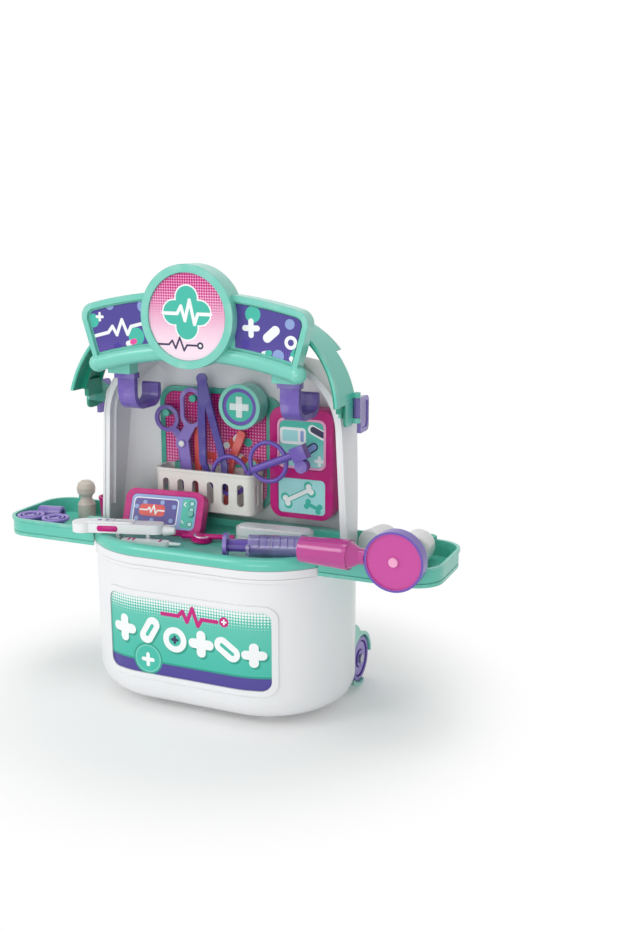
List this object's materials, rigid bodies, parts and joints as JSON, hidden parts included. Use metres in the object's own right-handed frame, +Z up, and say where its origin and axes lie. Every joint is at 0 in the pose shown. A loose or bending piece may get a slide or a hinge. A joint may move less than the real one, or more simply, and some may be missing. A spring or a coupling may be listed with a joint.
{
  "type": "toy doctor case",
  "caption": "Toy doctor case on two wheels: white shell with worktop, swing-up canopy with arched sign, two clip-on side trays and a set of play instruments.",
  "frame": {"origin": "on the floor, at the middle of the small round foot below the hood's front rim", "axes": "+Z up, front towards -Y, +X towards the viewer's right seen from the front"},
  "size_m": [0.4964, 0.1736, 0.456],
  "materials": {
    "white_plastic": "glossy",
    "teal_light": "glossy",
    "teal_tray": "satin",
    "teal_cover": "satin",
    "teal_dark": "glossy",
    "purple": "glossy",
    "purple_light": "satin",
    "purple_dark": "glossy",
    "magenta": "glossy",
    "clear_pink": "glossy",
    "clear_lilac": "glossy",
    "cream_plastic": "satin",
    "red_plastic": "glossy",
    "beige_plastic": "matte",
    "steel": "satin",
    "print_front": "satin",
    "print_sign": "satin",
    "print_emblem": "satin",
    "print_board": "satin",
    "print_film": "glossy",
    "print_screen": "glossy",
    "print_face": "satin",
    "rubber_feet": "matte"
  },
  "bodies": {
    "case": {"base_shell": "white_plastic", "rear_shell": "white_plastic", "worktop": "teal_tray", "hood": "white_plastic", "front_panel": "print_front", "feet": "rubber_feet", "fenders": "teal_light", "axle": "steel", "rod_guide": "white_plastic", "hinge_pins": "steel", "rear_screws": "steel", "tool_board": "teal_dark", "board_insert": "print_board"},
    "left_wheel": {"wheel_left": "purple"},
    "right_wheel": {"wheel_right": "purple"},
    "handle": {"pull_rod": "white_plastic", "t_handle": "teal_tray"},
    "canopy": {"cover": "teal_cover", "hinge_arms": "teal_cover", "latch_pins": "steel"},
    "left_latch": {"latch_left": "purple_dark"},
    "right_latch": {"latch_right": "purple_dark"},
    "sign": {"sign_frame": "teal_light", "sign_prints": "print_sign", "emblem": "print_emblem", "sign_arms": "purple_light"},
    "left_tray": {"side_tray_left": "teal_tray"},
    "right_tray": {"side_tray_right": "teal_tray"},
    "tool_basket": {"basket": "cream_plastic", "small_tools": "red_plastic"},
    "film_holder": {"film_frame": "magenta", "films": "print_film"},
    "long_scissor": {"scissor_long": "purple"},
    "short_scissor": {"scissor_short": "purple_light"},
    "tongs": {"tweezers": "purple_dark"},
    "round_head": {"head_case": "teal_light", "head_face": "print_face"},
    "otoscope": {"ring_tool": "purple"},
    "fever_thermometer": {"thermometer": "white_plastic"},
    "pulse_monitor": {"monitor": "magenta", "monitor_screen": "print_screen"},
    "monitor_button": {"monitor_key": "teal_dark"},
    "mouth_mirror": {"dental_mirror": "magenta"},
    "slim_probe": {"probe": "white_plastic"},
    "syringe": {"syringe_barrel": "clear_lilac"},
    "plunger": {"syringe_plunger": "purple"},
    "instrument_box": {"white_tray": "cream_plastic"},
    "hammer": {"hammer_body": "clear_pink", "hammer_disc": "clear_pink"},
    "twin_rings": {"tray_rings": "purple"},
    "gauze_roll": {"roll": "purple"},
    "left_bottle": {"bottle_left": "beige_plastic"},
    "left_cup": {"cup_left": "magenta"},
    "right_bottle_a": {"bottle_right_a": "white_plastic"},
    "right_bottle_b": {"bottle_right_b": "white_plastic"}
  },
  "joints": [
    {"name": "left_wheel_spin", "type": "hinge", "parent": "case", "child": "left_wheel", "pos_m": [-0.128, 0.062, 0.034], "axis": [1, 0, 0], "continuous": true},
    {"name": "right_wheel_spin", "type": "hinge", "parent": "case", "child": "right_wheel", "pos_m": [0.128, 0.062, 0.034], "axis": [1, 0, 0], "continuous": true},
    {"name": "handle_pull", "type": "slide", "parent": "case", "child": "handle", "axis": [0, 0, 1], "range_m": [0, 0.18]},
    {"name": "canopy_swing", "type": "hinge", "parent": "case", "child": "canopy", "pos_m": [0, 0.014, 0.312], "axis": [1, 0, 0], "range_deg": [0, 40]},
    {"name": "left_latch_turn", "type": "hinge", "parent": "canopy", "child": "left_latch", "pos_m": [-0.1502, 0.0026, 0.31], "axis": [0, 0, 1], "range_deg": [0, 60]},
    {"name": "right_latch_turn", "type": "hinge", "parent": "canopy", "child": "right_latch", "pos_m": [0.1502, 0.0026, 0.31], "axis": [0, 0, -1], "range_deg": [0, 60]},
    {"name": "sign_pull_off", "type": "slide", "parent": "canopy", "child": "sign", "axis": [0, -1, 0], "range_m": [0, 0.03]},
    {"name": "left_tray_lift", "type": "slide", "parent": "case", "child": "left_tray", "axis": [0, 0, 1], "range_m": [0, 0.03]},
    {"name": "right_tray_lift", "type": "slide", "parent": "case", "child": "right_tray", "axis": [0, 0, 1], "range_m": [0, 0.03]},
    {"name": "basket_lift", "type": "slide", "parent": "case", "child": "tool_basket", "axis": [0, 0, 1], "range_m": [0, 0.006]},
    {"name": "film_pull_off", "type": "slide", "parent": "case", "child": "film_holder", "axis": [0, -1, 0], "range_m": [0, 0.012]},
    {"name": "scissor_lift", "type": "slide", "parent": "case", "child": "long_scissor", "axis": [0, 0, 1], "range_m": [0, 0.012]},
    {"name": "scissor_open", "type": "hinge", "parent": "long_scissor", "child": "short_scissor", "pos_m": [-0.069, 0.045, 0.258], "axis": [0, 1, 0], "range_deg": [0, 6]},
    {"name": "tongs_lift", "type": "slide", "parent": "case", "child": "tongs", "axis": [0, 0, 1], "range_m": [0, 0.02]},
    {"name": "round_head_pull_off", "type": "slide", "parent": "case", "child": "round_head", "axis": [0, -1, 0], "range_m": [0, 0.012]},
    {"name": "otoscope_lift", "type": "slide", "parent": "tool_basket", "child": "otoscope", "axis": [0, 0, 1], "range_m": [0, 0.012]},
    {"name": "thermometer_lift", "type": "slide", "parent": "case", "child": "fever_thermometer", "axis": [0, 0, 1], "range_m": [0, 0.03]},
    {"name": "monitor_lift", "type": "slide", "parent": "case", "child": "pulse_monitor", "axis": [0, 0, 1], "range_m": [0, 0.03]},
    {"name": "monitor_press", "type": "slide", "parent": "pulse_monitor", "child": "monitor_button", "axis": [-0.0955, 0.9085, -0.4067], "range_m": [0, 0.0012], "stiffness_N_per_m": 120},
    {"name": "mirror_lift", "type": "slide", "parent": "case", "child": "mouth_mirror", "axis": [0, 0, 1], "range_m": [0, 0.03]},
    {"name": "probe_slide", "type": "slide", "parent": "case", "child": "slim_probe", "axis": [0.9848, 0.1736, 0], "range_m": [0, 0.012]},
    {"name": "syringe_lift", "type": "slide", "parent": "case", "child": "syringe", "axis": [0, 0, 1], "range_m": [0, 0.03]},
    {"name": "plunger_push", "type": "slide", "parent": "syringe", "child": "plunger", "axis": [0.9511, 0.309, 0], "range_m": [-0.008, 0.018]},
    {"name": "box_lift", "type": "slide", "parent": "case", "child": "instrument_box", "axis": [0, 0, 1], "range_m": [0, 0.03]},
    {"name": "hammer_lift", "type": "slide", "parent": "case", "child": "hammer", "axis": [0, 0, 1], "range_m": [0, 0.03]},
    {"name": "rings_lift", "type": "slide", "parent": "left_tray", "child": "twin_rings", "axis": [0, 0, 1], "range_m": [0, 0.03]},
    {"name": "roll_lift", "type": "slide", "parent": "left_tray", "child": "gauze_roll", "axis": [0, 0, 1], "range_m": [0, 0.03]},
    {"name": "left_bottle_lift", "type": "slide", "parent": "left_tray", "child": "left_bottle", "axis": [0, 0, 1], "range_m": [0, 0.03]},
    {"name": "left_cup_lift", "type": "slide", "parent": "left_tray", "child": "left_cup", "axis": [0, 0, 1], "range_m": [0, 0.03]},
    {"name": "right_bottle_a_lift", "type": "slide", "parent": "right_tray", "child": "right_bottle_a", "axis": [0, 0, 1], "range_m": [0, 0.03]},
    {"name": "right_bottle_b_lift", "type": "slide", "parent": "right_tray", "child": "right_bottle_b", "axis": [0, 0, 1], "range_m": [0, 0.03]}
  ]
}
